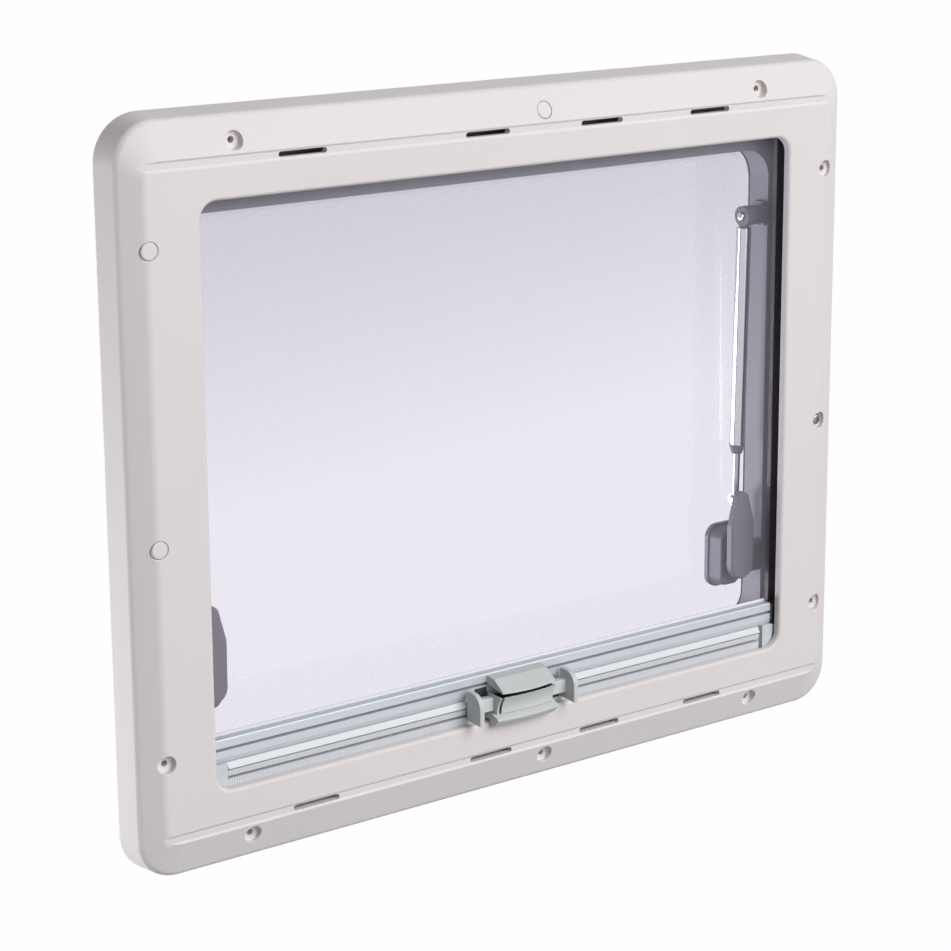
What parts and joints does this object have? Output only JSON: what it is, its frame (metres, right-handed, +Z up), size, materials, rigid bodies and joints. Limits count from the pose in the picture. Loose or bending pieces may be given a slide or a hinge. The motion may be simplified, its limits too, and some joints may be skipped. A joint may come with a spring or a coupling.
{
  "type": "caravan window",
  "caption": "Top-hinged caravan window with bonded acrylic panes, gas stays, swivel latches and an inner frame that holds a flyscreen and a roller blind.",
  "frame": {"origin": "middle of the bottom edge of the outer frame's flange face, on the wall's outer skin", "axes": "+X to the right as seen from inside the caravan, +Z up, +Y out of the caravan through the wall"},
  "size_m": [0.664, 0.096, 0.558],
  "materials": {
    "frame_plastic": "satin moulded, pale warm grey",
    "outer_frame_foam": "matt moulded foam, dark grey",
    "dark_plastic": "matt moulded, dark grey",
    "grey_plastic": "satin moulded, mid grey",
    "bar_aluminium": "painted silver grey extrusion",
    "roller_tube": "plain tube",
    "mesh": "fine woven mesh",
    "blind_cloth": "coated blackout cloth",
    "seal_rubber": "matt black",
    "acrylic": "clear acrylic",
    "polished_tube": "polished",
    "rod_steel": "ground rod"
  },
  "bodies": {
    "window": {"blind_bar": "bar_aluminium", "blind_bar_cap_left": "grey_plastic", "blind_bar_cap_right": "grey_plastic", "blind_fabric": "blind_cloth", "blind_roller": "roller_tube", "catch_cap": "grey_plastic", "catch_pull": "grey_plastic", "catch_tab_left": "grey_plastic", "catch_tab_right": "grey_plastic", "flyscreen": "mesh", "flyscreen_bar": "bar_aluminium", "flyscreen_guide_left": "dark_plastic", "flyscreen_guide_right": "dark_plastic", "flyscreen_roller": "roller_tube", "frame_seal": "seal_rubber", "hinge_rail": "bar_aluminium", "inner_frame": "frame_plastic", "inner_pane": "acrylic", "latch_base_left": "dark_plastic", "latch_base_right": "dark_plastic", "latch_catch_left": "dark_plastic", "latch_catch_right": "dark_plastic", "outer_frame": "outer_frame_foam", "outer_pane": "acrylic", "pane_hinge_strip": "bar_aluminium", "screw_cap_left_middle": "frame_plastic", "screw_cap_left_upper": "frame_plastic", "screw_cap_top": "frame_plastic", "side_track_left": "dark_plastic", "side_track_right": "dark_plastic", "stay_bracket_left": "dark_plastic", "stay_bracket_right": "dark_plastic", "stay_collar_left": "dark_plastic", "stay_collar_right": "dark_plastic", "stay_head_left": "dark_plastic", "stay_head_right": "dark_plastic", "stay_rod_left": "rod_steel", "stay_rod_right": "rod_steel", "stay_tube_left": "polished_tube", "stay_tube_right": "polished_tube"},
    "lever_left": {"latch_lever_left": "dark_plastic"},
    "lever_right": {"latch_lever_right": "dark_plastic"}
  },
  "joints": [
    {"name": "left_latch_turn", "type": "hinge", "parent": "window", "child": "lever_left", "pos_m": [-0.2535, -0.025, 0.107], "axis": [0, 1, 0], "range_deg": [0, 90]},
    {"name": "right_latch_turn", "type": "hinge", "parent": "window", "child": "lever_right", "pos_m": [0.2535, -0.025, 0.107], "axis": [0, -1, 0], "range_deg": [0, 90]}
  ]
}
